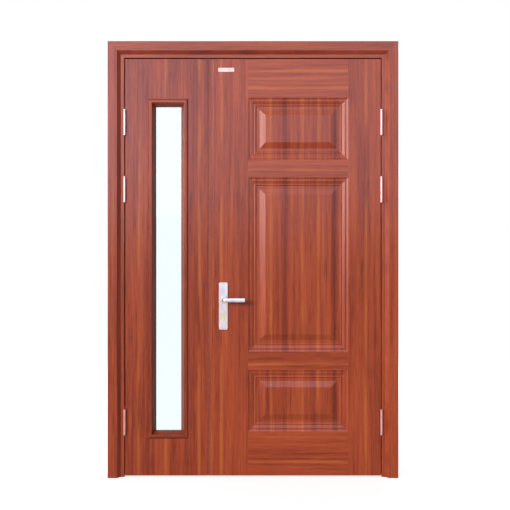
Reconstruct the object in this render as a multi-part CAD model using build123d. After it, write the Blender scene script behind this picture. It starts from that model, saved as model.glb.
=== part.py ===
"""Unequal pair of wood-grain steel doors in a pressed frame, drawn closed.

Millimetres. X runs to the right, Y away from the viewer, Z up. The pieces are drawn about the
middle of the frame's front face and saved from the datum: the floor, the wall side of the left
jamb, and the plane of the leaves' front faces.
"""
import os
from math import copysign, cos, pi, sin

from build123d import *

# Frame: one pressed section round two sides and the head, open towards the wall
FRAME_WIDTH = 1464.0
FRAME_HEIGHT = 2200.0
FRAME_SHEET = 1.5
FRAME_BEND = 2.5
CASING = 47.0
SLOPE = 16.0
SET_BACK = 18.0
INNER_FLAT = 18.0
STOP = 18.0
STOP_DEPTH = 40.0
WALL_LIP = 30.0
ANCHOR_R = 5.0
ANCHOR_SPAN = 600.0
ANCHOR_MARGIN = 600.0

# Leaves: two pressed pans each, seamed along the middle of the edges
LEAF_THICK = 50.0
LEAF_SHEET = 1.0
GAP = 5.0
FLOOR_GAP = 8.0
SEAL_GAP = 6.0
SEAL_CLEAR = 1.0
SEAL_BEHIND = 0.5
NARROW_WIDTH = 418.0
NARROW_BEVEL = 4.5
WIDE_BEVEL = 2.5

# Pressed panels of the wide leaf: margins from its edges, and the moulding as inset and depth
LOCK_STILE = 198.0
HINGE_STILE = 164.0
TOP_RAIL = 195.0
UPPER_RAIL = 89.0
LOWER_RAIL = 92.0
BOTTOM_RAIL = 222.0
TOP_PANEL = 314.0
BOTTOM_PANEL = 312.0
MOULDING = ((0, 0), (9, 4.5), (18, 4.5), (31, 10), (34, 8.5), (38, 8.5), (43, 12), (58, 12), (88, 0))

# Line pressed into the wide leaf beside its meeting edge: inset, width and depth
LINE_INSET = 18.0
LINE_WIDTH = 4.0
LINE_DEPTH = 0.8

# Glazing of the narrow leaf
DAYLIGHT_WIDTH = 132.0
DAYLIGHT_FROM_EDGE = 135.0
DAYLIGHT_SILL = 222.0
DAYLIGHT_HEAD = 237.0
BEAD_RISE = 8.0
BEAD_RIM = 12.0
BEAD_SLOPE = 16.0
BEAD_PROUD = 8.0
BEAD_SHEET = 2.0
BEAD_SEAM = 0.3
GLASS_THICK = 8.0
GLASS_COVER = 10.0

# Butt hinges
HINGE_LENGTH = 130.0
HINGE_AHEAD = 7.0
KNUCKLE_R = 6.0
KNUCKLE_SEAM = 0.4
KNUCKLES = 3
HINGE_PLATE = 2.0
HINGE_REACH = 34.0
PIN_R = 3.0
PIN_FIT = 0.05
HINGE_FROM_FOOT = 271.0
HINGE_FROM_TOP = 321.0
HINGE_PITCH = 339.0

# Lock and handles of the wide leaf
BACKSET = 73.4
LEVER_HEIGHT = 889.0
PLATE_WIDTH = 45.0
PLATE_HEIGHT = 240.0
PLATE_ABOVE = 88.0
PLATE_THICK = 8.0
PLATE_ROUND = 7.0
PLATE_BEVEL = 2.0
NECK_R = 11.0
NECK_FIT = 0.1
LEVER_LENGTH = 110.0
LEVER_REACH = 45.0
LEVER_TALL = 21.0
LEVER_DEEP = 14.0
LEVER_BEND = 17.0
LEVER_SIDES = 12
LEVER_FULLNESS = 3.0
LEVER_TIP = 2.0
SPINDLE = 8.0
CYLINDER_DROP = 78.0
CYLINDER_R = 8.5
CYLINDER_TALL = 33.0
CYLINDER_TAIL = 10.0
CYLINDER_PROUD = 2.0
FOREND_WIDTH = 24.0
FOREND_HEIGHT = 240.0
FOREND_THICK = 3.0
BOLT_PLATE_HEIGHT = 160.0

# Levels that follow from them
FACE_WIDTH = CASING + SLOPE + INNER_FLAT
FRONT = SET_BACK
BACK = FRONT + LEAF_THICK
MIDDLE = FRONT + LEAF_THICK / 2
STOP_FACE = BACK + SEAL_GAP
FRAME_BACK = STOP_FACE + STOP_DEPTH
REBATE = FRAME_WIDTH / 2 - FACE_WIDTH
LEAF_EDGE = REBATE - GAP
FOOT = FLOOR_GAP
TOP = FRAME_HEIGHT - FACE_WIDTH - GAP
NARROW_EDGE = NARROW_WIDTH - LEAF_EDGE
WIDE_EDGE = NARROW_EDGE + GAP
HINGE_X = REBATE - GAP / 2
HINGE_Y = FRONT - HINGE_AHEAD
HINGE_HEIGHTS = {
    "top": TOP - HINGE_FROM_TOP,
    "middle": TOP - HINGE_FROM_TOP - HINGE_PITCH,
    "bottom": FOOT + HINGE_FROM_FOOT,
}
LEVER_X = WIDE_EDGE + BACKSET
LEVER_Z = FOOT + LEVER_HEIGHT
MID_PLANE = Plane((0, MIDDLE, 0), x_dir=(1, 0, 0), z_dir=(0, -1, 0))


def save(name, *solids):
    """Write one node, moved to the datum: a single solid, or several that do not touch."""
    moved = [Pos(FRAME_WIDTH / 2, -FRONT, 0) * solid for solid in solids]
    export_step(moved[0] if len(moved) == 1 else Compound(children=moved), f"parts/{name}.step")


def block(x0, x1, y0, y1, z0, z1):
    """A box between two corners."""
    return Pos((x0 + x1) / 2, (y0 + y1) / 2, (z0 + z1) / 2) * Box(abs(x1 - x0), abs(y1 - y0), abs(z1 - z0))


def pressed(points, thickness, bend):
    """Section of a folded sheet: the line through the points is its outer side."""
    line = FilletPolyline(*points, radius=bend)
    return make_face(offset(line, thickness, side=Side.LEFT))


def mitred(section, x0, x1, z0, z1, seam=0.0):
    """Bars of one section round a rectangle, mitred: left, right, top and bottom.

    The section is drawn with X as the inset from the rectangle's side and Y as the depth.
    """
    reach = section.bounding_box().max.X + 1
    sides = (
        ((x0, 0, z0), (1, 0, 0), (0, 0, 1), z1 - z0),
        ((x1, 0, z1), (-1, 0, 0), (0, 0, -1), z1 - z0),
        ((x0, 0, z1), (0, 0, -1), (1, 0, 0), x1 - x0),
        ((x1, 0, z0), (0, 0, 1), (-1, 0, 0), x1 - x0),
    )
    bars = []
    for origin, inward, along, length in sides:
        bar = extrude(Plane(origin, x_dir=inward, z_dir=along) * section, length, both=True)
        normal = Vector(*inward).cross(Vector(*along))
        ends = Polygon((-1, seam - 1), (reach, reach + seam), (reach, length - reach - seam),
                       (-1, length + 1 - seam), align=None)
        bars.append(bar & extrude(Plane(origin, x_dir=inward, z_dir=normal) * ends, FRAME_BACK * 2, both=True))
    return bars


def leaf_slab(x0, x1, bevel, meeting, y0, y1, inset=0.0):
    """The leaf between two depths; its meeting edge leans back by the bevel over the thickness."""
    lean = [bevel * (y - FRONT) / LEAF_THICK for y in (y0, y1)]
    if meeting == "left":
        ends = [(x0 + lean[0], x1), (x0 + lean[1], x1)]
    else:
        ends = [(x0, x1 - lean[0]), (x0, x1 - lean[1])]
    plan = Polygon((ends[0][0] + inset, y0), (ends[0][1] - inset, y0),
                   (ends[1][1] - inset, y1), (ends[1][0] + inset, y1), align=None)
    return extrude(Pos(0, 0, FOOT + inset) * plan, TOP - FOOT - 2 * inset)


def pans(x0, x1, bevel, meeting, relief, cuts):
    """Front and back pan of a leaf, each a pressed sheet with its edges folded to the seam."""
    made = []
    for face, inward in ((FRONT, 1), (BACK, -1)):
        y0, y1 = sorted((face, MIDDLE))
        outer = leaf_slab(x0, x1, bevel, meeting, y0, y1)
        y0, y1 = sorted((face + inward * LEAF_SHEET, MIDDLE + inward))
        inner = leaf_slab(x0, x1, bevel, meeting, y0, y1, LEAF_SHEET)
        for bar in relief:
            pressing = bar if inward > 0 else mirror(bar, about=MID_PLANE)
            outer -= pressing
            inner -= Pos(0, inward * LEAF_SHEET, 0) * pressing
        pan = outer - inner
        for cut in cuts:
            pan -= cut
        made.append(pan.solid())
    return made


def both_faces(shape):
    """A piece on the front face and its like on the back face."""
    return shape, mirror(shape, about=MID_PLANE)


def frame():
    section = pressed(
        ((0, WALL_LIP), (0, 0), (CASING, 0), (CASING + SLOPE, SET_BACK), (FACE_WIDTH, SET_BACK),
         (FACE_WIDTH, STOP_FACE), (FACE_WIDTH + STOP, STOP_FACE), (FACE_WIDTH + STOP, FRAME_BACK),
         (0, FRAME_BACK), (0, FRAME_BACK - WALL_LIP)),
        FRAME_SHEET, FRAME_BEND)
    half = FRAME_WIDTH / 2
    left, right, head, _ = mitred(section, -half, half, -FRAME_WIDTH, FRAME_HEIGHT)
    above_floor = block(-FRAME_WIDTH, FRAME_WIDTH, -FRAME_BACK, 2 * FRAME_BACK, 0, 2 * FRAME_HEIGHT)
    anchor_y = (STOP_FACE + FRAME_BACK) / 2
    for centre in (ANCHOR_MARGIN, FRAME_HEIGHT - ANCHOR_MARGIN):
        for z in (centre - ANCHOR_SPAN / 2, centre + ANCHOR_SPAN / 2):
            drill = Pos(0, anchor_y, z) * Rot(0, 90, 0) * Cylinder(ANCHOR_R, 20)
            left -= Pos(FACE_WIDTH + STOP - half, 0, 0) * drill
            right -= Pos(half - FACE_WIDTH - STOP, 0, 0) * drill
    save("left_jamb", left & above_floor)
    save("right_jamb", right & above_floor)
    save("head", head)
    inset = FACE_WIDTH + STOP / 4
    seal = Pos(inset, STOP_FACE) * Polygon(
        (0, 0), (STOP / 2, 0), (STOP / 3, SEAL_CLEAR - SEAL_GAP), (STOP / 6, SEAL_CLEAR - SEAL_GAP), align=None)
    strips = mitred(seal, -half, half, -FRAME_WIDTH, FRAME_HEIGHT, BEAD_SEAM)
    save("frame_seal", *(strip & above_floor for strip in strips[:3]))


def hinges(side, sign):
    """Three butt hinges on one side; each pin is fast in the knuckles of its frame half."""
    pitch = HINGE_LENGTH / KNUCKLES
    for name, height in HINGE_HEIGHTS.items():
        foot = height - HINGE_LENGTH / 2
        pin = Pos(0, HINGE_Y, height) * Cylinder(PIN_R, HINGE_LENGTH - pitch)
        bore = Pos(0, HINGE_Y, height) * Cylinder(PIN_R + PIN_FIT, HINGE_LENGTH)
        for half, first, wall, plate_side in (("frame", 0, REBATE, -1), ("leaf", 1, LEAF_EDGE, 1)):
            near, far = wall - HINGE_X, wall - HINGE_X + plate_side * HINGE_PLATE
            solid = block(near, far, FRONT, FRONT + HINGE_REACH, foot, foot + HINGE_LENGTH)
            for i in range(first, KNUCKLES, 2):
                z0 = foot + i * pitch + KNUCKLE_SEAM / 2
                z1 = foot + (i + 1) * pitch - KNUCKLE_SEAM / 2
                solid += Pos(0, HINGE_Y, (z0 + z1) / 2) * Cylinder(KNUCKLE_R, z1 - z0)
                solid += block(near, far, HINGE_Y, FRONT + 1, z0, z1)
            solid = solid + pin if half == "frame" else solid - bore
            save(f"{side}_{name}_hinge_{half}", place(solid, sign))


def place(solid, sign):
    """Move a piece drawn about the right hinge axis to its side of the door."""
    if sign < 0:
        solid = mirror(solid, about=Plane.YZ)
    return Pos(sign * HINGE_X, 0, 0) * solid


def narrow_leaf():
    x0, x1 = -LEAF_EDGE, NARROW_EDGE
    glass_x1 = x1 - DAYLIGHT_FROM_EDGE
    glass_x0 = glass_x1 - DAYLIGHT_WIDTH
    glass_z0 = FOOT + DAYLIGHT_SILL
    glass_z1 = TOP - DAYLIGHT_HEAD
    rim_end = BEAD_RISE + BEAD_RIM
    bead = rim_end + BEAD_SLOPE
    under = BEAD_SLOPE + BEAD_RIM / 2
    window = block(glass_x0 - under, glass_x1 + under, 0, FRAME_BACK, glass_z0 - under, glass_z1 + under)
    edge = (x1 - NARROW_BEVEL - FOREND_THICK, x1 + 1, MIDDLE - FOREND_WIDTH / 2, MIDDLE + FOREND_WIDTH / 2)
    plates = {
        "strike_plate": block(*edge, LEVER_Z - FOREND_HEIGHT / 2, LEVER_Z + FOREND_HEIGHT / 2),
        "upper_flush_bolt": block(*edge, TOP - BOLT_PLATE_HEIGHT, TOP),
        "lower_flush_bolt": block(*edge, FOOT, FOOT + BOLT_PLATE_HEIGHT),
    }
    shape = (x0, x1, NARROW_BEVEL, "right")
    front, back = pans(*shape, [], [window, *plates.values()])
    save("narrow_front_pan", front)
    save("narrow_back_pan", back)
    whole = leaf_slab(*shape, FRONT, BACK)
    for name, room in plates.items():
        save(name, whole & room)
    glass_front = MIDDLE - GLASS_THICK / 2
    crest = FRONT - BEAD_PROUD
    section = pressed(((0, FRONT), (BEAD_RISE, crest), (rim_end, crest), (bead, glass_front)),
                      BEAD_SHEET, BEAD_SHEET)
    section &= Pos(bead / 2, glass_front - FRAME_BACK / 2) * Rectangle(2 * bead, FRAME_BACK)
    section -= Pos(0, FRONT + FRAME_BACK / 2) * Rectangle(2 * BEAD_RISE, FRAME_BACK)
    bars = mitred(section, glass_x0 - bead, glass_x1 + bead, glass_z0 - bead, glass_z1 + bead, BEAD_SEAM)
    save("front_glazing_bead", *bars)
    save("back_glazing_bead", *(mirror(bar, about=MID_PLANE) for bar in bars))
    pane = block(glass_x0 - GLASS_COVER, glass_x1 + GLASS_COVER, glass_front, glass_front + GLASS_THICK,
                 glass_z0 - GLASS_COVER, glass_z1 + GLASS_COVER)
    save("glass_pane", pane)


def cylinder_profile(grow=0.0):
    """Keyhole-shaped outline of the lock cylinder, about the centre of its round part."""
    tail = CYLINDER_TALL - CYLINDER_R
    radius = CYLINDER_TAIL / 2 + grow
    outline = Circle(CYLINDER_R + grow)
    outline += Pos(0, -(tail - CYLINDER_TAIL / 2) / 2) * Rectangle(2 * radius, tail - CYLINDER_TAIL / 2)
    return outline + Pos(0, CYLINDER_TAIL / 2 - tail) * Circle(radius)


def wide_leaf():
    x0, x1 = WIDE_EDGE, LEAF_EDGE
    panel_x = (x0 + LOCK_STILE, x1 - HINGE_STILE)
    top_foot = TOP - TOP_RAIL - TOP_PANEL
    low_top = FOOT + BOTTOM_RAIL + BOTTOM_PANEL
    levels = ((FOOT + BOTTOM_RAIL, low_top), (low_top + LOWER_RAIL, top_foot - UPPER_RAIL),
              (top_foot, TOP - TOP_RAIL))
    section = Pos(0, FRONT) * Polygon(*MOULDING, align=None)
    relief = [bar for z0, z1 in levels for bar in mitred(section, *panel_x, z0, z1)]
    line = Polygon((0, 0), (LINE_WIDTH, 0), (LINE_WIDTH / 2, LINE_DEPTH), align=None)
    relief.append(Pos(x0 + LINE_INSET, FRONT, 0) * extrude(line, 2 * FRAME_HEIGHT, both=True))
    depth = Plane((LEVER_X, 0, LEVER_Z), x_dir=(1, 0, 0), z_dir=(0, -1, 0))
    through = extrude(depth * Circle(NECK_R + 1), 2 * FRAME_BACK, both=True)
    keyed = Pos(0, 0, -CYLINDER_DROP) * extrude(depth * cylinder_profile(1), 2 * FRAME_BACK, both=True)
    forend = block(x0 - 1, x0 + WIDE_BEVEL + FOREND_THICK, MIDDLE - FOREND_WIDTH / 2, MIDDLE + FOREND_WIDTH / 2,
                   LEVER_Z - FOREND_HEIGHT / 2, LEVER_Z + FOREND_HEIGHT / 2)
    shape = (x0, x1, WIDE_BEVEL, "left")
    front, back = pans(*shape, relief, [through, keyed, forend])
    save("wide_front_pan", front)
    save("wide_back_pan", back)
    save("lock_forend", leaf_slab(*shape, FRONT, BACK) & forend)
    lip = GAP - SEAL_CLEAR
    seal_y = FRONT + SEAL_BEHIND
    save("meeting_seal", block(x0 - lip, x0, seal_y, seal_y + 2 * lip, FOOT, TOP))
    lockset(depth)


def oblong(width, height):
    """Full-bodied section of a cast bar, with a few flat sides."""
    points = []
    for i in range(LEVER_SIDES):
        turn = 2 * pi * i / LEVER_SIDES
        across, up = (copysign(abs(part(turn)) ** (2 / LEVER_FULLNESS), part(turn)) for part in (cos, sin))
        points.append((across * width / 2, up * height / 2))
    return Polygon(*points, align=None)


def lockset(depth):
    """Handle plates, cylinder, and the levers on their spindle."""
    outline = RectangleRounded(PLATE_WIDTH, PLATE_HEIGHT, PLATE_ROUND)
    lift = PLATE_ABOVE - PLATE_HEIGHT / 2
    plate = Pos(0, FRONT, lift) * extrude(depth * outline, PLATE_THICK)
    plate = chamfer(plate.faces().sort_by(Axis.Y)[0].edges(), PLATE_BEVEL)
    plate -= extrude(depth * Circle(NECK_R + NECK_FIT), FRAME_BACK, both=True)
    plate -= Pos(0, 0, -CYLINDER_DROP) * extrude(depth * cylinder_profile(NECK_FIT), FRAME_BACK, both=True)
    for name, solid in zip(("front_plate", "back_plate"), both_faces(plate)):
        save(name, solid)
    cylinder = extrude(depth * cylinder_profile(), LEAF_THICK / 2 + PLATE_THICK + CYLINDER_PROUD, both=True)
    key = block(LEVER_X - 1.2, LEVER_X + 1.2, 0, FRONT, LEVER_Z - 4, LEVER_Z + 4)
    cylinder = Pos(0, MIDDLE, 0) * cylinder - key - mirror(key, about=MID_PLANE)
    save("lock_cylinder", Pos(0, 0, -CYLINDER_DROP) * cylinder)
    out = FRONT - LEVER_REACH
    turn = out + LEVER_BEND
    neck = Pos(LEVER_X, (turn + FRONT) / 2, LEVER_Z) * Rot(90, 0, 0) * Cylinder(NECK_R, FRONT - turn)
    start, knee = (LEVER_X, turn + 1, LEVER_Z), (LEVER_X, turn, LEVER_Z)
    elbow, tip = (LEVER_X + LEVER_BEND, out, LEVER_Z), (LEVER_X + LEVER_LENGTH, out, LEVER_Z)
    middle = (LEVER_X + LEVER_BEND * (1 - 0.5 ** 0.5), out + LEVER_BEND * (1 - 0.5 ** 0.5), LEVER_Z)
    route = Wire([Line(start, knee), ThreePointArc(knee, middle, elbow), Line(elbow, tip)])
    section = Plane(start, x_dir=(1, 0, 0), z_dir=(0, -1, 0)) * oblong(LEVER_DEEP, LEVER_TALL)
    bar = sweep(section, route)
    bar = chamfer(bar.faces().sort_by(Axis.X)[-1].edges(), LEVER_TIP)
    lever = neck + bar
    socket = SPINDLE + 2 * PIN_FIT
    lever -= block(LEVER_X - socket / 2, LEVER_X + socket / 2, turn + NECK_R, FRONT + 1,
                   LEVER_Z - socket / 2, LEVER_Z + socket / 2)
    for name, solid in zip(("front_lever", "back_lever"), both_faces(lever)):
        save(name, solid)
    reach = MIDDLE - turn - NECK_R
    save("spindle", block(LEVER_X - SPINDLE / 2, LEVER_X + SPINDLE / 2, MIDDLE - reach, MIDDLE + reach,
                          LEVER_Z - SPINDLE / 2, LEVER_Z + SPINDLE / 2))


os.makedirs("parts", exist_ok=True)
frame()
hinges("left", -1)
hinges("right", 1)
narrow_leaf()
wide_leaf()
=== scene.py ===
"""Looks of the unequal steel double door: printed wood grain, satin fittings, glazing and studio."""
import math

import bmesh
import bpy
from mathutils import Matrix, Vector


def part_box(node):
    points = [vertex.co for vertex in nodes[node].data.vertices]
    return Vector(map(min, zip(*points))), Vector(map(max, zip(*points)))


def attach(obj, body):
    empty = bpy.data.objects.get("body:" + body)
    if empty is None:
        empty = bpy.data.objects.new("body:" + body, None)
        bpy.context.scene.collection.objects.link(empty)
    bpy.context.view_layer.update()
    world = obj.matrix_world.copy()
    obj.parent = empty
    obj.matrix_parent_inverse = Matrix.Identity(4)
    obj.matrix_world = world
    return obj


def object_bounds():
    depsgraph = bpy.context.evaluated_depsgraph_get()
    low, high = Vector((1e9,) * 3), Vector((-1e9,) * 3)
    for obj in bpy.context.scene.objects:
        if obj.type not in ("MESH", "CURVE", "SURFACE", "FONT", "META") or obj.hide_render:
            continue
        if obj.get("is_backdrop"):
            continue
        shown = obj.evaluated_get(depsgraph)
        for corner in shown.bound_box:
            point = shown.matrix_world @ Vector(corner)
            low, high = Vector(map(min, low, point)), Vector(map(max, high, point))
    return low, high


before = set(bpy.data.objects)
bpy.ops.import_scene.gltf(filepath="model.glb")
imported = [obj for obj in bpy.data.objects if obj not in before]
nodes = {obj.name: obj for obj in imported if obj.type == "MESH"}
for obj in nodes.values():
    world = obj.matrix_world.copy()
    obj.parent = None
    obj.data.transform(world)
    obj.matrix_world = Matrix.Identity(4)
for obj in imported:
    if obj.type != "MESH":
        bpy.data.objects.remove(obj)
cad_low, cad_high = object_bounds()
bpy.context.scene.view_settings.view_transform = "Standard"

# Frame: two jambs and a head, each one folded strip of steel, mitred together and fixed to the wall.
# A heat-transfer film prints red-brown wood grain on the powder coat, along each member. Waves are
# the waves of the print per metre across and along the grain.
GRAIN_DARK = (122, 43, 19)
GRAIN_MID = (160, 65, 33)
GRAIN_LIGHT = (180, 81, 43)
GRAIN_AMBER = (204, 110, 48)
GRAIN_STOPS = ((0.25, GRAIN_DARK), (0.5, GRAIN_MID), (0.75, GRAIN_LIGHT))
WANDER_WAVES = (3, 0.8)
BAND_WAVES = (13, 0.45)
LINE_WAVES = (64, 1.7)
FIBRE_WAVES = (300, 9)
PORE_WAVES = (700, 22)
AMBER_WAVES = (40, 0.5)
FADING_WAVES = (30, 2.2)
WANDER = 0.014
BAND_SHARE = 0.55
LINE_SHARE = 0.85
FIBRE_SHARE = 0.7
PORE_LEVELS = (0.6, 0.72)
PORE_BLEND = 0.35
AMBER_LEVELS = (0.58, 0.72)
AMBER_SHARE = 0.5
AMBER_BLEND = 0.45
FADING_LEVELS = (0.28, 0.6)
STREAK_HALF = 0.015
SHADE_HALF = 0.024
SHADE_DEPTH = 0.22
FIBRE_RELIEF = 0.6
PORE_RELIEF = 0.4
RELIEF_STRENGTH = 0.12
RELIEF_DEPTH = 0.0002
PRINT_ROUGHNESS = 0.3
ROUGHNESS_SWING = 0.1
PRINT_SHINE = 0.25
LEFT_JAMB_TONE = -0.03


class Flow:
    """A socket of a finish. Sums on flows add Math nodes, and make() adds any other node."""

    def __init__(self, tree, socket=None):
        self.tree = tree
        self.socket = socket

    def make(self, kind, settings, sockets, out=0):
        """Add a node: its settings first, then the values or links of its sockets."""
        node = self.tree.nodes.new("ShaderNode" + kind)
        for name, value in settings.items():
            if name == "stops":
                for i, (place, colour) in enumerate(value):
                    stops = node.color_ramp.elements
                    stop = stops[i] if i < len(stops) else stops.new(place)
                    stop.position = place
                    stop.color = colour
            else:
                setattr(node, name, value)
        for key, value in sockets.items():
            if isinstance(value, Flow):
                self.tree.links.new(value.socket, node.inputs[key])
            else:
                node.inputs[key].default_value = value
        return Flow(self.tree, node.outputs[out] if node.outputs else None)

    def beside(self, out):
        """Another output of the same node."""
        return Flow(self.tree, self.socket.node.outputs[out])

    def __add__(self, other):
        return self.make("Math", {"operation": "ADD"}, {0: self, 1: other})

    def __radd__(self, other):
        return self + other

    def __sub__(self, other):
        return self.make("Math", {"operation": "SUBTRACT"}, {0: self, 1: other})

    def __rsub__(self, other):
        return self.make("Math", {"operation": "SUBTRACT"}, {0: other, 1: self})

    def __mul__(self, other):
        return self.make("Math", {"operation": "MULTIPLY"}, {0: self, 1: other})

    def __rmul__(self, other):
        return self * other

    def __abs__(self):
        return self.make("Math", {"operation": "ABSOLUTE"}, {0: self})

    def __gt__(self, other):
        return self.make("Math", {"operation": "GREATER_THAN"}, {0: self, 1: other})

    def __lt__(self, other):
        return self.make("Math", {"operation": "LESS_THAN"}, {0: self, 1: other})


def shade(red, green, blue):
    """Linear colour of an 8-bit shade."""
    tints = (red, green, blue)
    linear = [c / 255 / 12.92 if c < 11 else ((c / 255 + 0.055) / 1.055) ** 2.4 for c in tints]
    return (*linear, 1.0)


def begin(name):
    """A new finish, and the flows of its object coordinates."""
    material = bpy.data.materials.new(name)
    material.use_nodes = True
    material.node_tree.nodes.clear()
    point = Flow(material.node_tree).make("TexCoord", {}, {}, "Object")
    x = point.make("SeparateXYZ", {}, {0: point})
    return material, x, x.beside(1), x.beside(2)


def coat(material, sockets):
    """Close a finish with one surface shader."""
    flow = Flow(material.node_tree)
    flow.make("OutputMaterial", {}, {"Surface": flow.make("BsdfPrincipled", {}, sockets)})
    return material


def drawn_noise(across, along, waves, layer, detail):
    """Noise drawn out along the grain; each layer is another sheet of it."""
    spot = across.make("CombineXYZ", {}, {0: waves[0] * across, 1: waves[1] * along, 2: layer})
    return spot.make("TexNoise", {}, {"Vector": spot, "Scale": 1.0, "Detail": detail, "Roughness": 0.55})


def rise(value, low, high):
    """0 below the first level, 1 above the second, smooth between them."""
    return value.make("MapRange", {"interpolation_type": "SMOOTHSTEP"}, {0: value, 1: low, 2: high})


def blend(factor, first, second):
    """One colour passing into another."""
    return factor.make("Mix", {"data_type": "RGBA"}, {0: factor, 6: first, 7: second}, 2)


def printed_steel(name, lay, layer, tone=0.0, streaks=(), shades=()):
    """Printed grain on powder-coated steel.

    lay gives the distances across and along the grain, tone makes a sheet lighter or darker, streaks are
    the places across the grain of long amber streaks, and shades those of broad dark bands, which serve
    both for bands of the print and for painted shade.
    """
    material, x, y, z = begin(name)
    across, along = lay(x, y, z)
    across = across + WANDER * (drawn_noise(across, along, WANDER_WAVES, layer + 7, 1) - 0.5)
    bands = drawn_noise(across, along, BAND_WAVES, layer, 2)
    lines = drawn_noise(across, along, LINE_WAVES, layer + 2, 4)
    fibres = drawn_noise(across, along, FIBRE_WAVES, layer + 4, 3)
    pores = rise(drawn_noise(across, along, PORE_WAVES, layer + 5, 1), *PORE_LEVELS)
    grain = 0.5 + tone + BAND_SHARE * (bands - 0.5) + LINE_SHARE * (lines - 0.5)
    grain = grain + FIBRE_SHARE * (fibres - 0.5)
    for place in shades:
        grain = grain - SHADE_DEPTH * (1 - rise(abs(across - place), 0, SHADE_HALF))
    stops = [(place, shade(*tint)) for place, tint in GRAIN_STOPS]
    colour = grain.make("ValToRGB", {"stops": stops}, {0: grain})
    amber = AMBER_SHARE * rise(drawn_noise(across, along, AMBER_WAVES, layer + 9, 2), *AMBER_LEVELS)
    fading = rise(drawn_noise(across, along, FADING_WAVES, layer + 11, 3), *FADING_LEVELS)
    for place in streaks:
        amber = amber + (1 - rise(abs(across - place), 0, STREAK_HALF)) * fading
    colour = blend(AMBER_BLEND * rise(amber, 0, 1), colour, shade(*GRAIN_AMBER))
    colour = blend(PORE_BLEND * pores, colour, shade(*GRAIN_DARK))
    height = FIBRE_RELIEF * fibres - PORE_RELIEF * pores
    relief = height.make("Bump", {}, {
        "Height": height,
        "Strength": RELIEF_STRENGTH,
        "Distance": RELIEF_DEPTH,
    })
    return coat(material, {
        "Base Color": colour,
        "Roughness": PRINT_ROUGHNESS + ROUGHNESS_SWING * (fibres - 0.5),
        "Specular IOR Level": PRINT_SHINE,
        "Normal": relief,
    })


def dress(material, *names):
    """Give CAD nodes one finish."""
    for name in names:
        nodes[name].data.materials.clear()
        nodes[name].data.materials.append(material)


def upright(x, y, z):
    """Grain that stands, round the folds of a sheet."""
    return x + y, z


def level(x, y, z):
    """Grain that lies, round the folds of a sheet."""
    return z + y, x


dress(printed_steel("left_jamb_print", upright, 100.0, LEFT_JAMB_TONE), "left_jamb")
dress(printed_steel("right_jamb_print", upright, 0.0), "right_jamb")
dress(printed_steel("head_print", level, 20.0), "head")

# Seals: extruded rubber, a strip stuck in the frame's stop and one in the meeting edge of the wide
# leaf. The meeting strip is dyed to go with the print.
STOP_SEAL = (38, 34, 32)
MEETING_SEAL = (132, 60, 42)
BLOOM_WAVES = (240, 90)
BLOOM_LEVELS = (0.4, 0.7)
BLOOM_PALE = 22
RUBBER_ROUGHNESS = 0.6
RUBBER_SWING = 0.2
RUBBER_SHINE = 0.25


def rubber(name, tint):
    """Extruded rubber with a chalky bloom."""
    material, x, y, z = begin(name)
    bloom = drawn_noise(x + y, z, BLOOM_WAVES, 0.0, 3)
    pale = tuple(min(255, c + BLOOM_PALE) for c in tint)
    return coat(material, {
        "Base Color": blend(rise(bloom, *BLOOM_LEVELS), shade(*tint), shade(*pale)),
        "Roughness": RUBBER_ROUGHNESS + RUBBER_SWING * bloom,
        "Specular IOR Level": RUBBER_SHINE,
    })


dress(rubber("stop_rubber", STOP_SEAL), "frame_seal")
dress(rubber("meeting_rubber", MEETING_SEAL), "meeting_seal")

# Hinges: rolled butt hinges of nickel-plated steel, three knuckles on a fast pin. Each plate is held
# by four countersunk screws with cross recesses.
NICKEL = (222, 162, 150)
NICKEL_ROUGHNESS = 0.32
NICKEL_BARE = 0.5
ZINC = (206, 204, 200)
ZINC_ROUGHNESS = 0.3
BRUSH_WAVES = (1900, 45)
CLOUD_WAVES = (40, 25)
SATIN_LEVELS = (0.75, 1.25)
SATIN_DULL = 0.9
BRUSH_SWING = 0.12
CLOUD_SWING = 0.1
SCREW_RADIUS = 0.0042
SCREW_PROUD = 0.0002
SCREW_RECESS = 0.0012
SCREW_SIDES = 24
RIM_SCALE = 0.94
CROSS_ARM = 0.62
CROSS_HALF = 0.14
CROSS_TAPER = 0.7
SLIT_HALF = 0.0005
SCREW_DEPTHS = (0.012, 0.024, 0.024, 0.012)
SCREW_MARGIN = 0.017


def satin_metal(name, tint, roughness, lay, bare=1.0):
    """Metal with a fine satin grain drawn along one direction; bare is less under a clear lacquer."""
    material, x, y, z = begin(name)
    across, along = lay(x, y, z)
    brush = drawn_noise(across, along, BRUSH_WAVES, 0.0, 2)
    cloud = drawn_noise(across, along, CLOUD_WAVES, 3.0, 2)
    dull = tuple(SATIN_DULL * c for c in tint)
    return coat(material, {
        "Base Color": blend(rise(brush + cloud, *SATIN_LEVELS), shade(*dull), shade(*tint)),
        "Metallic": bare,
        "Roughness": roughness + BRUSH_SWING * (brush - 0.5) + CLOUD_SWING * (cloud - 0.5),
    })


def add_piece(name, mesh, body, slot, *finishes):
    """A new piece that moves with a body."""
    data = bpy.data.meshes.new(name)
    mesh.to_mesh(data)
    mesh.free()
    for finish in finishes:
        data.materials.append(finish)
    piece = bpy.data.objects.new(name, data)
    bpy.context.scene.collection.objects.link(piece)
    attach(piece, body)
    return piece


def against(place, facing):
    """Frame of a piece that stands on a face: X to the right as one looks at it, Y up, Z out."""
    out = Vector(facing).normalized()
    up = Vector((0, 0, 1))
    return Matrix.Translation(place) @ Matrix((up.cross(out), up, out)).transposed().to_4x4()


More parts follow.
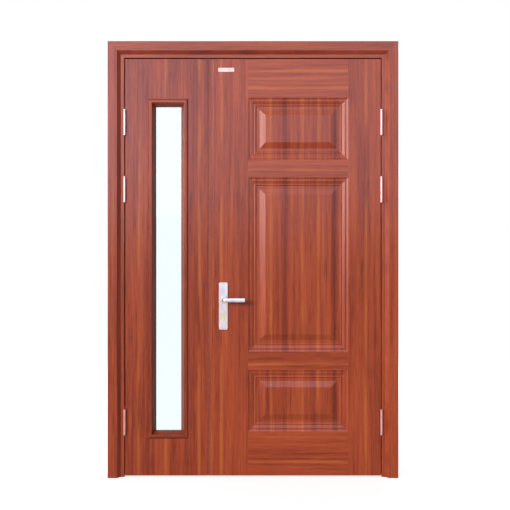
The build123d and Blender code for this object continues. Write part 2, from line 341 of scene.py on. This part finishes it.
def cross_screw(mesh, place, facing, radius=SCREW_RADIUS):
    """A countersunk screw head with a cross recess, flush on a face."""
    put = against(place, facing)
    arm, half = CROSS_ARM * radius, CROSS_HALF * radius
    cross = [(arm, -half), (arm, half), (half, half), (half, arm), (-half, arm), (-half, half),
             (-arm, half), (-arm, -half), (-half, -half), (-half, -arm), (half, -arm), (half, -half)]
    turns = [2 * math.pi * i / SCREW_SIDES for i in range(SCREW_SIDES)]
    circle = [(radius * math.cos(turn), radius * math.sin(turn)) for turn in turns]

    def ring(points, depth, scale=1.0):
        return [mesh.verts.new(put @ Vector((scale * a, scale * b, depth))) for a, b in points]

    def wall(upper, lower):
        for i in range(len(upper)):
            j = (i + 1) % len(upper)
            mesh.faces.new((upper[i], lower[i], lower[j], upper[j]))

    foot = ring(circle, 0.0)
    rim = ring(circle, SCREW_PROUD, RIM_SCALE)
    mouth = ring(cross, SCREW_PROUD)
    floor = ring(cross, SCREW_PROUD - SCREW_RECESS, CROSS_TAPER)
    wall(rim, foot)
    wall(floor, mouth)
    mesh.faces.new(floor)
    edges = [mesh.edges.get((loop[i], loop[i - 1])) for loop in (rim, mouth) for i in range(len(loop))]
    bmesh.ops.triangle_fill(mesh, edges=edges, use_beauty=True)


nickel = satin_metal("nickel_plate", NICKEL, NICKEL_ROUGHNESS, upright, NICKEL_BARE)
zinc = satin_metal("zinc_plate", ZINC, ZINC_ROUGHNESS, level)
for side, leaf_body, inward in (("left", "narrow_leaf", 1), ("right", "wide_leaf", -1)):
    for half, body, facing in (("frame", "frame", inward), ("leaf", leaf_body, -inward)):
        screws = bmesh.new()
        for height in ("top", "middle", "bottom"):
            hinge = f"{side}_{height}_hinge_{half}"
            dress(nickel, hinge)
            low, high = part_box(hinge)
            plate_face = (low.x + high.x) / 2 - facing * SLIT_HALF
            pitch = (high.z - low.z - 2 * SCREW_MARGIN) / (len(SCREW_DEPTHS) - 1)
            for i, depth in enumerate(SCREW_DEPTHS):
                place = (plate_face, depth, low.z + SCREW_MARGIN + i * pitch)
                cross_screw(screws, place, (facing, 0, 0))
        add_piece(f"{side}_hinge_{half}_screws", screws, body, "hinge_steel", zinc)

# Narrow leaf: two pressed steel pans seamed round the edge, printed upright, with a tall glazed
# strip. Its free edge carries the strike plate and two flush bolts.
NARROW_STREAKS = (0.152, 0.290, 0.462)
NARROW_TONE = -0.11
narrow_print = printed_steel("narrow_leaf_print", upright, 40.0, NARROW_TONE, NARROW_STREAKS)
dress(narrow_print, "narrow_front_pan", "narrow_back_pan")

# Glazing: toughened glass held by folded beads on both sides, mitred and printed along each bar,
# with a grey gasket between bead and glass.
BEAD_TONE = -0.15
BEAD_WIDTH = 0.036
GLASS_TINT = (0.912, 0.995, 0.998, 1.0)
GLASS_IOR = 1.45
GLASS_SMEAR = 0.03
SMEAR_WAVES = (6, 6)
SMEAR_LEVELS = (0.5, 0.8)
GASKET_WIDTH = 0.0022
GASKET_HEIGHT = 0.003
GASKET_TUCK = 0.0008
GASKET_ROUND = ((0.3, 0.9), (0.8, 0.5))
GASKET_GREY = (96, 92, 90)
bead_low, bead_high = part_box("front_glazing_bead")
bead_middle = (bead_low + bead_high) / 2
bead_half = (bead_high - bead_low) / 2


def along_bars(x, y, z):
    """Grain along each bar of the bead: level where a point is nearer to the head or the sill."""
    lies = abs(z - bead_middle.z) - bead_half.z > abs(x - bead_middle.x) - bead_half.x
    return x + y + lies * (z - x), z + lies * (x - z)


bead_print = printed_steel("bead_print", along_bars, 60.0, BEAD_TONE)
dress(bead_print, "front_glazing_bead", "back_glazing_bead")
material, x, y, z = begin("clear_glass")
dress(coat(material, {
    "Base Color": GLASS_TINT,
    "Roughness": GLASS_SMEAR * rise(drawn_noise(x, z, SMEAR_WAVES, 0.0, 3), *SMEAR_LEVELS),
    "Transmission Weight": 1.0,
    "IOR": GLASS_IOR,
}), "glass_pane")


def ring_of_bars(mesh, outer, section):
    """Sweep a section round a rectangle; its points are the inset from the rectangle and the depth."""
    low, high = outer
    loops = []
    for inset, depth in section:
        left, right, foot, head = low.x + inset, high.x - inset, low.z + inset, high.z - inset
        corners = ((left, foot), (right, foot), (right, head), (left, head))
        loops.append([mesh.verts.new((a, depth, b)) for a, b in corners])
    for i, loop in enumerate(loops):
        for j in range(4):
            mesh.faces.new((loops[i - 1][j - 1], loops[i - 1][j], loop[j], loop[j - 1]))
    bmesh.ops.recalc_face_normals(mesh, faces=mesh.faces)


glass_low, glass_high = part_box("glass_pane")
gasket = bmesh.new()
for glass_face, out in ((glass_low.y, -1), (glass_high.y, 1)):
    tuck = BEAD_WIDTH - GASKET_TUCK
    section = [(tuck, glass_face), (tuck, glass_face + out * GASKET_HEIGHT)]
    for width, height in GASKET_ROUND:
        section.append((BEAD_WIDTH + width * GASKET_WIDTH, glass_face + out * height * GASKET_HEIGHT))
    section.append((BEAD_WIDTH + GASKET_WIDTH, glass_face))
    ring_of_bars(gasket, (bead_low, bead_high), section)
gasket_rubber = rubber("gasket_rubber", GASKET_GREY)
add_piece("glazing_gaskets", gasket, "narrow_leaf", "seal_rubber", gasket_rubber)

# Wide leaf: two pressed steel pans like the narrow one. Three raised panels are pressed in each;
# the print is upright on stiles and panels and level on the rails between the stiles.
LOCK_STILE = 0.198
HINGE_STILE = 0.164
PANEL_LEVELS = ((0.230, 0.542), (0.634, 1.516), (1.605, 1.919))
FOLD = 0.003
RAIL_SHIFT = 10.0
STILE_STREAKS = (0.573, 0.822, 0.983, 1.063, 1.303)
# Dark bands on the panels: partly bands of the print, partly painted shade along the panels' right-hand
# mouldings.
PANEL_BANDS_AND_SHADE = (0.894, 1.143)
RAIL_STREAKS = (0.078, 0.569, 1.554, 1.969, 2.054)
leaf_low, leaf_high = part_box("wide_front_pan")
panel_left = leaf_low.x + LOCK_STILE
panel_right = leaf_high.x - HINGE_STILE


def stiles_and_rails(x, y, z):
    """Upright grain on stiles and panels, level grain, shifted far away in the print, on the rails."""
    between = (x > panel_left) * (x < panel_right)
    panels = sum((z > low) * (z < high) for low, high in PANEL_LEVELS)
    rail = between * (1 - panels)
    folded = (x < leaf_low.x + FOLD) + (x > leaf_high.x - FOLD)
    return x + folded * y + rail * (z + RAIL_SHIFT - x), z + rail * (x - z)


wide_streaks = STILE_STREAKS + tuple(RAIL_SHIFT + height for height in RAIL_STREAKS)
wide_print = printed_steel("wide_leaf_print", stiles_and_rails, 80.0, 0.0, wide_streaks, PANEL_BANDS_AND_SHADE)
dress(wide_print, "wide_front_pan", "wide_back_pan")

# Meeting pile: a brush strip in the edge of the wide leaf, behind the rubber seal. Short fibre tufts
# are woven in a backing tape and brush the narrow leaf's edge.
PILE_BROWN = (62, 34, 27)
PILE_BEHIND = 0.0007
PILE_THICK = 0.003
PILE_CLEAR = 0.00002
TUFT_PITCH = 0.0045
TUFT_FULL = 0.08
TUFT_PINCHED = 0.28
TIP_UNEVEN = 0.00003
TIP_TURN = 1.7
WIDE_LEAN = 0.05
NARROW_LEAN = 0.09
seal_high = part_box("meeting_seal")[1]
narrow_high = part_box("narrow_front_pan")[1]
pile_front = seal_high.y + PILE_BEHIND
pile_back = pile_front + PILE_THICK
pile_tip = narrow_high.x - NARROW_LEAN * pile_front + PILE_CLEAR
pile = bmesh.new()
tufts = round((leaf_high.z - leaf_low.z) / TUFT_PITCH)
loops = []
for i in range(tufts + 1):
    z = leaf_low.z + i * (leaf_high.z - leaf_low.z) / tufts
    pinch = TUFT_PINCHED if i % 2 else TUFT_FULL
    tip = pile_tip + TIP_UNEVEN * (1 + math.sin(TIP_TURN * i))
    front, back = pile_front + pinch * PILE_THICK, pile_back - pinch * PILE_THICK
    loops.append([pile.verts.new(point) for point in (
        (leaf_low.x + WIDE_LEAN * pile_front, pile_front, z), (tip, front, z),
        (tip, back, z), (leaf_low.x + WIDE_LEAN * pile_back, pile_back, z))])
for lower, upper in zip(loops, loops[1:]):
    for j in range(4):
        pile.faces.new((lower[j - 1], lower[j], upper[j], upper[j - 1]))
pile.faces.new(loops[0])
pile.faces.new(reversed(loops[-1]))
bmesh.ops.recalc_face_normals(pile, faces=pile.faces)
add_piece("meeting_pile", pile, "wide_leaf", "seal_rubber", rubber("pile_fibre", PILE_BROWN))

# Lock: a mortise lock with a brass cylinder through both plates. Plates and levers are satin
# aluminium, and the forend and strike are steel.
ALUMINIUM = (208, 184, 180)
PLATE_ROUGHNESS = 0.34
LEVER_ROUGHNESS = 0.3
BRASS = (216, 202, 134)
BRASS_ROUGHNESS = 0.3
LOCK_STEEL = (160, 158, 157)
LOCK_ROUGHNESS = 0.32
satin_aluminium = satin_metal("satin_aluminium", ALUMINIUM, PLATE_ROUGHNESS, upright)
brass = satin_metal("cylinder_brass", BRASS, BRASS_ROUGHNESS, upright)
lock_steel = satin_metal("lock_steel", LOCK_STEEL, LOCK_ROUGHNESS, upright)
lever_aluminium = satin_metal("lever_aluminium", ALUMINIUM, LEVER_ROUGHNESS, level)
dress(satin_aluminium, "front_plate", "back_plate")
dress(lever_aluminium, "front_lever", "back_lever")
dress(brass, "lock_cylinder")
dress(lock_steel, "lock_forend", "strike_plate", "upper_flush_bolt", "lower_flush_bolt", "spindle")

# Cylinder: a profile cylinder of brass, turned and milled, held in the lock by one screw from the
# edge. The plug's collar stands round the keyway on both faces of the body.
COLLAR_OUTER = 0.0068
COLLAR_INNER = 0.0056
COLLAR_PROUD = 0.0003
SAME_POINT = 1e-6


def rounded(width, height, radius, depth):
    """Points of a rectangle with round corners, at one depth."""
    steps = 6
    points = []
    for quarter, (right, up) in enumerate(((1, 1), (-1, 1), (-1, -1), (1, -1))):
        for i in range(steps + 1):
            turn = math.pi / 2 * (quarter + i / steps)
            points.append(Vector((right * (width / 2 - radius) + radius * math.cos(turn),
                                  up * (height / 2 - radius) + radius * math.sin(turn), depth)))
    return points


cylinder_low, cylinder_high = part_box("lock_cylinder")
plug_x = (cylinder_low.x + cylinder_high.x) / 2
plug_z = cylinder_high.z - (cylinder_high.x - cylinder_low.x) / 2
collars = bmesh.new()
for face, out in ((cylinder_low.y, -1), (cylinder_high.y, 1)):
    put = against((plug_x, face, plug_z), (0, out, 0))
    circles = [[collars.verts.new(put @ point) for point in rounded(2 * r, 2 * r, r, depth)]
               for r, depth in ((COLLAR_OUTER, 0), (COLLAR_OUTER - COLLAR_PROUD, COLLAR_PROUD),
                                (COLLAR_INNER + COLLAR_PROUD, COLLAR_PROUD), (COLLAR_INNER, 0))]
    for outer, inner in zip(circles, circles[1:]):
        for i in range(len(outer)):
            collars.faces.new((outer[i - 1], outer[i], inner[i], inner[i - 1]))
bmesh.ops.remove_doubles(collars, verts=collars.verts, dist=SAME_POINT)
add_piece("cylinder_collars", collars, "wide_leaf", "cylinder_brass", brass)

# Plate screws: two long screws of zinc-plated steel with cross recesses. They go through the back
# plate and the lock case into threads in the front plate, so the front shows none.
PLATE_SCREW_RADIUS = 0.0036
PLATE_SCREW_MARGIN = 0.018
plate_low, plate_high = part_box("back_plate")
plate_x = (plate_low.x + plate_high.x) / 2
plate_screws = bmesh.new()
for z in (plate_low.z + PLATE_SCREW_MARGIN, plate_high.z - PLATE_SCREW_MARGIN):
    cross_screw(plate_screws, (plate_x, plate_high.y, z), (0, 1, 0), PLATE_SCREW_RADIUS)
add_piece("back_plate_screws", plate_screws, "wide_leaf", "handle_metal", zinc)

# Forend: the latch nose with its sloping side, and three round bolt ends drawn back level with the
# plate, all of plated steel. Two screws hold the forend to the leaf's edge.
LATCH_ABOVE = 0.028
LATCH_HEIGHT = 0.030
LATCH_THICK = 0.013
LATCH_PROUD = 0.0052
LATCH_STEP = 0.001
LATCH_ROUND = 0.001
NOSE_SHARE = 0.25
BOLTS = 3
BOLT_RADIUS = 0.0065
BOLT_PITCH = 0.022
BOLT_PROUD = 0.0012
BOLT_EDGE = 0.0006
EDGE_SCREW_MARGIN = 0.011
wide_edge_facing = (-1, WIDE_LEAN, 0)
forend_low, forend_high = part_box("lock_forend")
edge_y = (forend_low.y + forend_high.y) / 2
latch_z = (forend_low.z + forend_high.z) / 2 + LATCH_ABOVE
bolt_levels = [plug_z + (i - (BOLTS - 1) / 2) * BOLT_PITCH for i in range(BOLTS)]


def stacked(mesh, put, *rings):
    """A closed solid through like rings of points."""
    loops = [[mesh.verts.new(put @ point) for point in ring] for ring in rings]
    for lower, upper in zip(loops, loops[1:]):
        for i in range(len(lower)):
            mesh.faces.new((lower[i - 1], lower[i], upper[i], upper[i - 1]))
    mesh.faces.new(reversed(loops[0]))
    mesh.faces.new(loops[-1])


def button(mesh, place, facing, width, height, radius, proud, edge):
    """A raised pad with a broken edge."""
    foot = rounded(width, height, radius, 0)
    shoulder = rounded(width, height, radius, proud - edge)
    top = rounded(width - 2 * edge, height - 2 * edge, radius - edge, proud)
    stacked(mesh, against(place, facing), foot, shoulder, top)


def on_wide_edge(z):
    """A point on the middle line of the forend, in the wide leaf's leaning edge."""
    return forend_low.x + WIDE_LEAN * (edge_y - forend_low.y), edge_y, z


latch = bmesh.new()
nose = rounded(LATCH_THICK, LATCH_HEIGHT, LATCH_ROUND, LATCH_PROUD)
for point in nose:
    point.x = point.x if point.x > 0 else NOSE_SHARE * point.x
stacked(latch, against(on_wide_edge(latch_z), wide_edge_facing),
        rounded(LATCH_THICK, LATCH_HEIGHT, LATCH_ROUND, 0),
        rounded(LATCH_THICK, LATCH_HEIGHT, LATCH_ROUND, LATCH_STEP), nose)
for z in bolt_levels:
    button(latch, on_wide_edge(z), wide_edge_facing, 2 * BOLT_RADIUS, 2 * BOLT_RADIUS, BOLT_RADIUS,
           BOLT_PROUD, BOLT_EDGE)
add_piece("latch_and_bolts", latch, "wide_leaf", "lock_steel", zinc)
forend_screws = bmesh.new()
for z in (forend_low.z + EDGE_SCREW_MARGIN, forend_high.z - EDGE_SCREW_MARGIN):
    cross_screw(forend_screws, on_wide_edge(z), wide_edge_facing)
add_piece("forend_screws", forend_screws, "wide_leaf", "lock_steel", zinc)

# Strike and flush bolts: flat black pads on the edge stand for the mouths in the strike plate, with
# the black of the dust boxes and painted shade of the holes, and for the slots of the flush bolts as
# painted shade alone; each flush bolt has a slide in its slot. All are screwed to the narrow leaf's edge.
BLACK_BOX_AND_HOLE_SHADE = (26, 25, 26)
MOUTH_PROUD = 0.0003
MOUTH_EDGE = 0.0002
MOUTH_MARGIN = 0.002
MOUTH_ROUND = 0.002
SLIDE_WIDTH = 0.009
SLIDE_HEIGHT = 0.016
SLIDE_TRAVEL = 0.040
SLIDE_PROUD = 0.0022
SLIDE_RIBS = 4
RIB_ROUND = 0.0015
RIB_EDGE = 0.0007
narrow_edge_facing = (1, NARROW_LEAN, 0)
strike_low, strike_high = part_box("strike_plate")


def on_narrow_edge(z):
    """A point on the middle line of the strike plate, in the narrow leaf's leaning edge."""
    return strike_high.x - NARROW_LEAN * (edge_y - strike_low.y), edge_y, z


def mouth(mesh, z, width, height, radius):
    """A flat black pad for the mouth of a hole in the narrow leaf's edge, with the shade in the hole
    painted.
    """
    button(mesh, on_narrow_edge(z), narrow_edge_facing, width, height, radius, MOUTH_PROUD, MOUTH_EDGE)


mouths = bmesh.new()
mouth(mouths, latch_z, LATCH_THICK + MOUTH_MARGIN, LATCH_HEIGHT + MOUTH_MARGIN, MOUTH_ROUND)
for z in bolt_levels:
    across = 2 * BOLT_RADIUS + MOUTH_MARGIN
    mouth(mouths, z, across, across, across / 2)
slides = bmesh.new()
edge_screws = bmesh.new()
for z in (strike_low.z + EDGE_SCREW_MARGIN, strike_high.z - EDGE_SCREW_MARGIN):
    cross_screw(edge_screws, on_narrow_edge(z), narrow_edge_facing)
for bolt in ("upper_flush_bolt", "lower_flush_bolt"):
    bolt_low, bolt_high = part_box(bolt)
    middle = (bolt_low.z + bolt_high.z) / 2
    for z in (bolt_low.z + EDGE_SCREW_MARGIN, bolt_high.z - EDGE_SCREW_MARGIN):
        cross_screw(edge_screws, on_narrow_edge(z), narrow_edge_facing)
    mouth(mouths, middle, SLIDE_WIDTH + MOUTH_MARGIN, SLIDE_HEIGHT + SLIDE_TRAVEL, SLIDE_WIDTH / 2)
    for i in range(SLIDE_RIBS):
        rib = middle + (i - (SLIDE_RIBS - 1) / 2) * SLIDE_HEIGHT / SLIDE_RIBS
        button(slides, on_narrow_edge(rib), narrow_edge_facing, SLIDE_WIDTH,
               SLIDE_HEIGHT / SLIDE_RIBS, RIB_ROUND, SLIDE_PROUD, RIB_EDGE)
# The black pads paint the shade inside the strike's holes and the flush bolts' slots.
add_piece("strike_mouths", mouths, "narrow_leaf", "lock_steel", rubber("dust_box_and_hole_shade", BLACK_BOX_AND_HOLE_SHADE))
add_piece("flush_bolt_slides", slides, "narrow_leaf", "lock_steel", zinc)
add_piece("narrow_edge_screws", edge_screws, "narrow_leaf", "lock_steel", zinc)

# Name plate: a small bare plate of aluminium under pale pink lacquer, stuck on the wide leaf near
# the top. Its corners are rounded and its edge is broken.
PLATE_PLACE = (0.5967, 0.0, 2.0592)
PLATE_WIDTH = 0.081
PLATE_HEIGHT = 0.021
PLATE_ROUND = 0.004
PLATE_PROUD = 0.0015
PLATE_EDGE = 0.0007
LACQUER_PINK = (236, 188, 180)
LACQUER_ROUGHNESS = 0.4
LACQUER_BARE = 0.1
name_plate = bmesh.new()
button(name_plate, PLATE_PLACE, (0, -1, 0), PLATE_WIDTH, PLATE_HEIGHT, PLATE_ROUND, PLATE_PROUD, PLATE_EDGE)
lacquered = satin_metal("lacquered_plate", LACQUER_PINK, LACQUER_ROUGHNESS, level, LACQUER_BARE)
add_piece("name_plate", name_plate, "wide_leaf", "handle_metal", lacquered)

# Studio: pale paper on the floor, which keeps the door's shadow and passes into white farther off.
# Wide cool lamps high in front give the haze on the upper half, a key far to the left models the
# mouldings, and a fill and a lamp behind the door lift the rest.
WHITE = (1, 1, 1)
PLAIN_WHITE = (1, 1, 1, 1)
FLOOR_HALF = 20.0
FLOOR_GLOW = 0.61
SHADE_REACH = 2.0
WHITE_REACH = 5.0
PAPER_WAVES = (30, 30)
PAPER_DIM = (104, 104, 106)
PAPER_DIM_FIBRE = (114, 114, 116)
PAPER_PALE = (214, 214, 216)
PAPER_PALE_FIBRE = (222, 222, 224)
AMBIENT = 0.33
SHEEN_TINT = (0.28, 0.66, 1.0)
LEFT_TINT = (0.2, 0.5, 1.0)
DOOR_MIDDLE = (0.7, 0, 1.1)
floor_mesh = bmesh.new()
bmesh.ops.create_grid(floor_mesh, x_segments=8, y_segments=8, size=FLOOR_HALF)
floor_data = bpy.data.meshes.new("floor")
floor_mesh.to_mesh(floor_data)
floor_mesh.free()
floor = bpy.data.objects.new("floor", floor_data)
bpy.context.scene.collection.objects.link(floor)
floor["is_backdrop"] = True
paper, x, y, z = begin("pale_paper")
seen = x.make("LightPath", {}, {})
through_glass = seen.beside("Is Transmission Ray")
seen = seen + seen.beside("Is Glossy Ray") + through_glass
fibre = drawn_noise(x, y, PAPER_WAVES, 0.0, 2)
dim = x.make("BsdfDiffuse", {}, {"Color": blend(fibre, shade(*PAPER_DIM), shade(*PAPER_DIM_FIBRE))})
lit = x.make("BsdfDiffuse", {}, {"Color": blend(fibre, shade(*PAPER_PALE), shade(*PAPER_PALE_FIBRE))})
white = x.make("Emission", {}, {"Color": PLAIN_WHITE, "Strength": FLOOR_GLOW})
bright = x.make("AddShader", {}, {0: lit, 1: white})
beyond = x.make("Emission", {}, {"Color": PLAIN_WHITE, "Strength": 1.0})
off_middle = x - (cad_low.x + cad_high.x) / 2
far = rise(off_middle * off_middle + y * y, SHADE_REACH ** 2, WHITE_REACH ** 2)
bright = x.make("MixShader", {}, {0: rise(far + through_glass, 0, 1), 1: bright, 2: beyond})
shown = x.make("MixShader", {}, {0: rise(seen, 0, 1), 1: dim, 2: bright})
x.make("OutputMaterial", {}, {"Surface": shown})
floor_data.materials.append(paper)

world = bpy.data.worlds.new("studio")
bpy.context.scene.world = world
world.use_nodes = True
world.node_tree.nodes.clear()
air = Flow(world.node_tree)
seen = air.make("LightPath", {}, {})
seen = rise(seen + seen.beside("Is Glossy Ray") + seen.beside("Is Transmission Ray"), 0, 1)
light = air.make("Background", {}, {"Color": PLAIN_WHITE, "Strength": AMBIENT + (1 - AMBIENT) * seen})
air.make("OutputWorld", {}, {"Surface": light})


def softbox(name, place, target, size, watts, tint, diffuse=True, glossy=True):
    """A large soft lamp aimed at a point."""
    lamp = bpy.data.lights.new(name, "AREA")
    lamp.shape = "RECTANGLE"
    lamp.size, lamp.size_y = size
    lamp.energy = watts
    lamp.color = tint
    box = bpy.data.objects.new(name, lamp)
    box.location = place
    box.rotation_euler = (Vector(target) - Vector(place)).to_track_quat("-Z", "Y").to_euler()
    box.visible_camera = False
    box.visible_transmission = False
    box.visible_diffuse = diffuse
    box.visible_glossy = glossy
    bpy.context.scene.collection.objects.link(box)


softbox("front_sheen", place=(0.7, -5.0, 5.1), target=(0.7, 0, 5.1), size=(14.0, 7.0), watts=1500,
        tint=SHEEN_TINT, diffuse=False)
softbox("left_sheen", place=(-3.4, -5.1, 5.1), target=(-3.4, 0, 5.1), size=(7.0, 7.0), watts=200,
        tint=LEFT_TINT, diffuse=False)
softbox("left_key", place=(-12.1, -15.6, 6.5), target=DOOR_MIDDLE, size=(6.0, 6.0), watts=3770,
        tint=WHITE, glossy=False)
softbox("left_glow", place=(-5.7, -7.8, 3.8), target=DOOR_MIDDLE, size=(5.0, 5.0), watts=800,
        tint=WHITE, diffuse=False)
softbox("side_sheen", place=(-5.0, -1.0, 2.2), target=(0, -1.0, 2.2), size=(5.0, 4.0), watts=200,
        tint=WHITE, diffuse=False)
softbox("front_fill", place=(-1.5, -6.0, 1.8), target=DOOR_MIDDLE, size=(3.0, 3.0), watts=52,
        tint=WHITE, glossy=False)
softbox("back_key", place=(3.2, 6.5, 3.2), target=DOOR_MIDDLE, size=(2.5, 2.5), watts=330, tint=WHITE)

# Camera: square to the door and level with its middle, a few steps away. The lens, a little longer
# than normal, keeps the faint perspective of a catalogue picture.
CAMERA_PLACE = (0.742, -3.518, 1.123)
CAMERA_LENS = 49.1
camera = bpy.data.objects.new("camera", bpy.data.cameras.new("camera"))
camera.location = CAMERA_PLACE
camera.rotation_euler = (math.pi / 2, 0, 0)
camera.data.lens = CAMERA_LENS
bpy.context.scene.collection.objects.link(camera)
bpy.context.scene.camera = camera

low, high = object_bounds()
